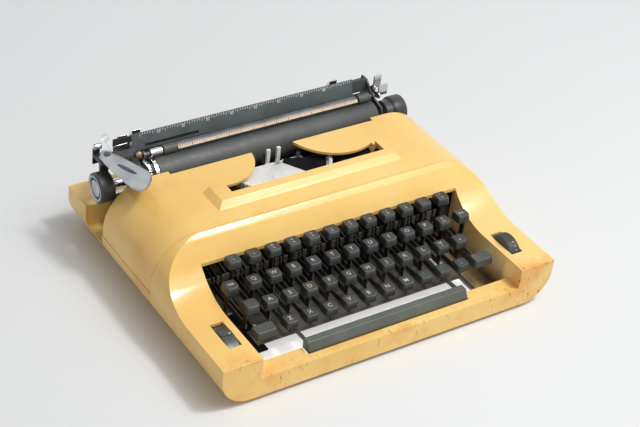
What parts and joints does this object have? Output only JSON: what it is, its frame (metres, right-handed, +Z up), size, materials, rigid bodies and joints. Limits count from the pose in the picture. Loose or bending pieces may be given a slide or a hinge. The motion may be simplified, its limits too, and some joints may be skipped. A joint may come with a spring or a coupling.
{
  "type": "portable typewriter",
  "caption": "Low portable manual typewriter with moulded casing, sloped keyboard, sliding platen carriage, return lever, paper bail and lift-off cover over the type bars.",
  "frame": {"origin": "on the table under the middle of the casing", "axes": "+X to the typist's right along the platen, +Y from the typist to the back, +Z up"},
  "size_m": [0.329, 0.272, 0.107],
  "materials": {
    "casing_yellow": "satin gloss, aged",
    "foot_rubber": "matte",
    "roller_rubber": "matte",
    "steel": "bright",
    "chassis_paint": "satin",
    "comb_paint": "satin",
    "type_steel": "bright",
    "spool_black": "matte",
    "chrome": "polished",
    "scale_steel": "satin",
    "key_charcoal": "satin",
    "space_bar_grey": "satin"
  },
  "bodies": {
    "casing": {"base_tray": "casing_yellow", "front_shell": "casing_yellow", "rubber_feet": "foot_rubber", "casing_screws": "steel", "chassis_frame": "chassis_paint", "carriage_rails": "steel", "key_pivot_rod": "steel", "key_comb": "comb_paint"},
    "carriage": {"carriage_frame": "chassis_paint", "paper_table": "chassis_paint"},
    "platen": {"platen_roller": "roller_rubber", "platen_shaft": "steel", "platen_knobs": "key_charcoal"},
    "cover": {"top_cover": "casing_yellow"},
    "return_lever": {"return_lever": "chrome"},
    "paper_bail": {"paper_bail": "scale_steel"},
    "bail_rollers": {"bail_rollers": "roller_rubber"},
    "feed_rollers": {"feed_rollers": "roller_rubber"},
    "left_margin_stop": {"left_margin_stop": "chrome"},
    "right_margin_stop": {"right_margin_stop": "chrome"},
    "paper_release": {"paper_release_lever": "chrome"},
    "carriage_release": {"carriage_release_lever": "chrome"},
    "line_space_selector": {"line_space_selector": "chrome"},
    "space_bar": {"space_bar": "space_bar_grey"},
    "shift_keys": {"shift_keys": "key_charcoal"},
    "type_basket": {"type_segment": "type_steel", "type_bars": "type_steel"},
    "ribbon_vibrator": {"ribbon_vibrator": "type_steel"},
    "shift_lock": {"shift_lock_key": "key_charcoal"},
    "tabulator": {"tabulator_key": "key_charcoal"},
    "margin_release": {"margin_release_key": "key_charcoal"},
    "colour_selector": {"colour_selector_wheel": "key_charcoal"},
    "touch_selector": {"touch_selector_wheel": "key_charcoal"},
    "left_spool": {"left_ribbon_spool": "spool_black"},
    "right_spool": {"right_ribbon_spool": "spool_black"},
    "mainspring_drum": {"mainspring_drum": "steel"},
    "number_row": {"number_row_keys": "key_charcoal"},
    "bottom_row": {"bottom_row_keys": "key_charcoal"},
    "key_q": {"key_q": "key_charcoal"},
    "key_w": {"key_w": "key_charcoal"},
    "key_e": {"key_e": "key_charcoal"},
    "key_r": {"key_r": "key_charcoal"},
    "key_t": {"key_t": "key_charcoal"},
    "key_y": {"key_y": "key_charcoal"},
    "key_u": {"key_u": "key_charcoal"},
    "key_i": {"key_i": "key_charcoal"},
    "key_o": {"key_o": "key_charcoal"},
    "key_p": {"key_p": "key_charcoal"},
    "key_upper_end": {"key_upper_end": "key_charcoal"},
    "key_a": {"key_a": "key_charcoal"},
    "key_s": {"key_s": "key_charcoal"},
    "key_d": {"key_d": "key_charcoal"},
    "key_f": {"key_f": "key_charcoal"},
    "key_g": {"key_g": "key_charcoal"},
    "key_h": {"key_h": "key_charcoal"},
    "key_j": {"key_j": "key_charcoal"},
    "key_k": {"key_k": "key_charcoal"},
    "key_l": {"key_l": "key_charcoal"},
    "key_home_10": {"key_home_10": "key_charcoal"},
    "key_home_11": {"key_home_11": "key_charcoal"}
  },
  "joints": [
    {"name": "carriage_slide", "type": "slide", "parent": "casing", "child": "carriage", "axis": [1, 0, 0], "range_m": [-0.1, 0.1]},
    {"name": "platen_turn", "type": "hinge", "parent": "carriage", "child": "platen", "pos_m": [0, 0.086, 0.072], "axis": [1, 0, 0], "continuous": true},
    {"name": "cover_lift", "type": "slide", "parent": "casing", "child": "cover", "axis": [0, 0, 1], "range_m": [0, 0.012]},
    {"name": "return_lever_swing", "type": "hinge", "parent": "carriage", "child": "return_lever", "pos_m": [-0.15, 0.093, 0.097], "axis": [0, 0, 1], "range_deg": [0, 30], "stiffness_Nm_per_rad": 0.05, "springref_deg": -11.46},
    {"name": "paper_bail_lift", "type": "hinge", "parent": "carriage", "child": "paper_bail", "pos_m": [0, 0.098, 0.078], "axis": [1, 0, 0], "range_deg": [-28, 0]},
    {"name": "left_margin_set", "type": "slide", "parent": "carriage", "child": "left_margin_stop", "axis": [1, 0, 0], "range_m": [0, 0.09]},
    {"name": "right_margin_set", "type": "slide", "parent": "carriage", "child": "right_margin_stop", "axis": [1, 0, 0], "range_m": [-0.09, 0.022]},
    {"name": "paper_release_pull", "type": "hinge", "parent": "carriage", "child": "paper_release", "pos_m": [0.124, 0.104, 0.086], "axis": [1, 0, 0], "range_deg": [0, 10]},
    {"name": "carriage_release_pull", "type": "hinge", "parent": "carriage", "child": "carriage_release", "pos_m": [0.126, 0.104, 0.086], "axis": [1, 0, 0], "range_deg": [0, 10], "stiffness_Nm_per_rad": 0.05, "springref_deg": -5.73},
    {"name": "line_space_set", "type": "hinge", "parent": "carriage", "child": "line_space_selector", "pos_m": [-0.124, 0.104, 0.08], "axis": [1, 0, 0], "range_deg": [-8, 8]},
    {"name": "space_bar_press", "type": "hinge", "parent": "casing", "child": "space_bar", "pos_m": [0, 0.025, 0.042], "axis": [1, 0, 0], "range_deg": [0, 2], "stiffness_Nm_per_rad": 0.8, "springref_deg": -8.59},
    {"name": "shift_press", "type": "hinge", "parent": "casing", "child": "shift_keys", "pos_m": [0, 0.025, 0.042], "axis": [1, 0, 0], "range_deg": [0, 2.3], "stiffness_Nm_per_rad": 0.5, "springref_deg": -8.59},
    {"name": "type_basket_drop", "type": "slide", "parent": "casing", "child": "type_basket", "axis": [0, 0, 1], "range_m": [-0.006, 0], "stiffness_N_per_m": 20, "springref_m": 0.047},
    {"name": "shift_lock_press", "type": "hinge", "parent": "casing", "child": "shift_lock", "pos_m": [0, 0.025, 0.042], "axis": [1, 0, 0], "range_deg": [0, 2.6], "stiffness_Nm_per_rad": 0.15, "springref_deg": -8.59},
    {"name": "tabulator_press", "type": "hinge", "parent": "casing", "child": "tabulator", "pos_m": [0, 0.025, 0.042], "axis": [1, 0, 0], "range_deg": [0, 3.2], "stiffness_Nm_per_rad": 0.15, "springref_deg": -8.59},
    {"name": "margin_release_press", "type": "hinge", "parent": "casing", "child": "margin_release", "pos_m": [0, 0.025, 0.042], "axis": [1, 0, 0], "range_deg": [0, 3.2], "stiffness_Nm_per_rad": 0.15, "springref_deg": -8.59},
    {"name": "colour_select", "type": "hinge", "parent": "casing", "child": "colour_selector", "pos_m": [-0.14075, -0.098, 0.0185], "axis": [1, 0, 0], "range_deg": [-12, 12]},
    {"name": "touch_select", "type": "hinge", "parent": "casing", "child": "touch_selector", "pos_m": [0.14075, -0.098, 0.0335], "axis": [1, 0, 0], "range_deg": [-20, 20]},
    {"name": "number_row_press", "type": "hinge", "parent": "casing", "child": "number_row", "pos_m": [0, 0.025, 0.042], "axis": [1, 0, 0], "range_deg": [0, 7.5], "stiffness_Nm_per_rad": 1.2, "springref_deg": -5.73},
    {"name": "key_q_press", "type": "hinge", "parent": "casing", "child": "key_q", "pos_m": [0, 0.025, 0.042], "axis": [1, 0, 0], "range_deg": [0, 5.9], "stiffness_Nm_per_rad": 0.15, "springref_deg": -5.73},
    {"name": "key_w_press", "type": "hinge", "parent": "casing", "child": "key_w", "pos_m": [0, 0.025, 0.042], "axis": [1, 0, 0], "range_deg": [0, 5.9], "stiffness_Nm_per_rad": 0.15, "springref_deg": -5.73},
    {"name": "key_e_press", "type": "hinge", "parent": "casing", "child": "key_e", "pos_m": [0, 0.025, 0.042], "axis": [1, 0, 0], "range_deg": [0, 5.9], "stiffness_Nm_per_rad": 0.15, "springref_deg": -5.73},
    {"name": "key_r_press", "type": "hinge", "parent": "casing", "child": "key_r", "pos_m": [0, 0.025, 0.042], "axis": [1, 0, 0], "range_deg": [0, 5.9], "stiffness_Nm_per_rad": 0.15, "springref_deg": -5.73},
    {"name": "key_t_press", "type": "hinge", "parent": "casing", "child": "key_t", "pos_m": [0, 0.025, 0.042], "axis": [1, 0, 0], "range_deg": [0, 5.9], "stiffness_Nm_per_rad": 0.15, "springref_deg": -5.73},
    {"name": "key_y_press", "type": "hinge", "parent": "casing", "child": "key_y", "pos_m": [0, 0.025, 0.042], "axis": [1, 0, 0], "range_deg": [0, 5.9], "stiffness_Nm_per_rad": 0.15, "springref_deg": -5.73},
    {"name": "key_u_press", "type": "hinge", "parent": "casing", "child": "key_u", "pos_m": [0, 0.025, 0.042], "axis": [1, 0, 0], "range_deg": [0, 5.9], "stiffness_Nm_per_rad": 0.15, "springref_deg": -5.73},
    {"name": "key_i_press", "type": "hinge", "parent": "casing", "child": "key_i", "pos_m": [0, 0.025, 0.042], "axis": [1, 0, 0], "range_deg": [0, 5.9], "stiffness_Nm_per_rad": 0.15, "springref_deg": -5.73},
    {"name": "key_o_press", "type": "hinge", "parent": "casing", "child": "key_o", "pos_m": [0, 0.025, 0.042], "axis": [1, 0, 0], "range_deg": [0, 5.9], "stiffness_Nm_per_rad": 0.15, "springref_deg": -5.73},
    {"name": "key_p_press", "type": "hinge", "parent": "casing", "child": "key_p", "pos_m": [0, 0.025, 0.042], "axis": [1, 0, 0], "range_deg": [0, 5.9], "stiffness_Nm_per_rad": 0.15, "springref_deg": -5.73},
    {"name": "key_upper_end_press", "type": "hinge", "parent": "casing", "child": "key_upper_end", "pos_m": [0, 0.025, 0.042], "axis": [1, 0, 0], "range_deg": [0, 5.9], "stiffness_Nm_per_rad": 0.15, "springref_deg": -5.73},
    {"name": "key_a_press", "type": "hinge", "parent": "casing", "child": "key_a", "pos_m": [0, 0.025, 0.042], "axis": [1, 0, 0], "range_deg": [0, 4.8], "stiffness_Nm_per_rad": 0.15, "springref_deg": -6.88},
    {"name": "key_s_press", "type": "hinge", "parent": "casing", "child": "key_s", "pos_m": [0, 0.025, 0.042], "axis": [1, 0, 0], "range_deg": [0, 4.8], "stiffness_Nm_per_rad": 0.15, "springref_deg": -6.88},
    {"name": "key_d_press", "type": "hinge", "parent": "casing", "child": "key_d", "pos_m": [0, 0.025, 0.042], "axis": [1, 0, 0], "range_deg": [0, 4.8], "stiffness_Nm_per_rad": 0.15, "springref_deg": -6.88},
    {"name": "key_f_press", "type": "hinge", "parent": "casing", "child": "key_f", "pos_m": [0, 0.025, 0.042], "axis": [1, 0, 0], "range_deg": [0, 4.8], "stiffness_Nm_per_rad": 0.15, "springref_deg": -6.88},
    {"name": "key_g_press", "type": "hinge", "parent": "casing", "child": "key_g", "pos_m": [0, 0.025, 0.042], "axis": [1, 0, 0], "range_deg": [0, 4.8], "stiffness_Nm_per_rad": 0.15, "springref_deg": -6.88},
    {"name": "key_h_press", "type": "hinge", "parent": "casing", "child": "key_h", "pos_m": [0, 0.025, 0.042], "axis": [1, 0, 0], "range_deg": [0, 4.8], "stiffness_Nm_per_rad": 0.15, "springref_deg": -6.88},
    {"name": "key_j_press", "type": "hinge", "parent": "casing", "child": "key_j", "pos_m": [0, 0.025, 0.042], "axis": [1, 0, 0], "range_deg": [0, 4.8], "stiffness_Nm_per_rad": 0.15, "springref_deg": -6.88},
    {"name": "key_k_press", "type": "hinge", "parent": "casing", "child": "key_k", "pos_m": [0, 0.025, 0.042], "axis": [1, 0, 0], "range_deg": [0, 4.8], "stiffness_Nm_per_rad": 0.15, "springref_deg": -6.88},
    {"name": "key_l_press", "type": "hinge", "parent": "casing", "child": "key_l", "pos_m": [0, 0.025, 0.042], "axis": [1, 0, 0], "range_deg": [0, 4.8], "stiffness_Nm_per_rad": 0.15, "springref_deg": -6.88},
    {"name": "key_home_10_press", "type": "hinge", "parent": "casing", "child": "key_home_10", "pos_m": [0, 0.025, 0.042], "axis": [1, 0, 0], "range_deg": [0, 4.8], "stiffness_Nm_per_rad": 0.15, "springref_deg": -6.88},
    {"name": "key_home_11_press", "type": "hinge", "parent": "casing", "child": "key_home_11", "pos_m": [0, 0.025, 0.042], "axis": [1, 0, 0], "range_deg": [0, 4.8], "stiffness_Nm_per_rad": 0.15, "springref_deg": -6.88},
    {"name": "bottom_row_press", "type": "hinge", "parent": "casing", "child": "bottom_row", "pos_m": [0, 0.025, 0.042], "axis": [1, 0, 0], "range_deg": [0, 4.1], "stiffness_Nm_per_rad": 1.2, "springref_deg": -6.88},
    {"name": "left_spool_turn", "type": "hinge", "parent": "casing", "child": "left_spool", "pos_m": [-0.074, 0.044, 0.062], "axis": [0, 0, 1], "continuous": true},
    {"name": "right_spool_turn", "type": "hinge", "parent": "casing", "child": "right_spool", "pos_m": [0.066, 0.044, 0.062], "axis": [0, 0, 1], "continuous": true},
    {"name": "ribbon_lift", "type": "slide", "parent": "type_basket", "child": "ribbon_vibrator", "axis": [0, 0, 1], "range_m": [0, 0.005]},
    {"name": "mainspring_turn", "type": "hinge", "parent": "casing", "child": "mainspring_drum", "pos_m": [-0.1, 0.048, 0.01], "axis": [0, 0, 1], "range_deg": [-360, 360]},
    {"name": "feed_roller_turn", "type": "hinge", "parent": "carriage", "child": "feed_rollers", "pos_m": [0, 0.10312, 0.06001], "axis": [1, 0, 0], "continuous": true},
    {"name": "bail_roller_turn", "type": "hinge", "parent": "paper_bail", "child": "bail_rollers", "pos_m": [0, 0.088, 0.0925], "axis": [1, 0, 0], "continuous": true}
  ],
  "couplings": [
    {"joint": "type_basket_drop", "follows": "shift_press", "m_per_rad": -0.149},
    {"joint": "mainspring_turn", "follows": "carriage_slide", "rad_per_m": 62.5},
    {"joint": "feed_roller_turn", "follows": "platen_turn", "ratio": -3.5556},
    {"joint": "right_spool_turn", "follows": "left_spool_turn", "ratio": 1}
  ]
}
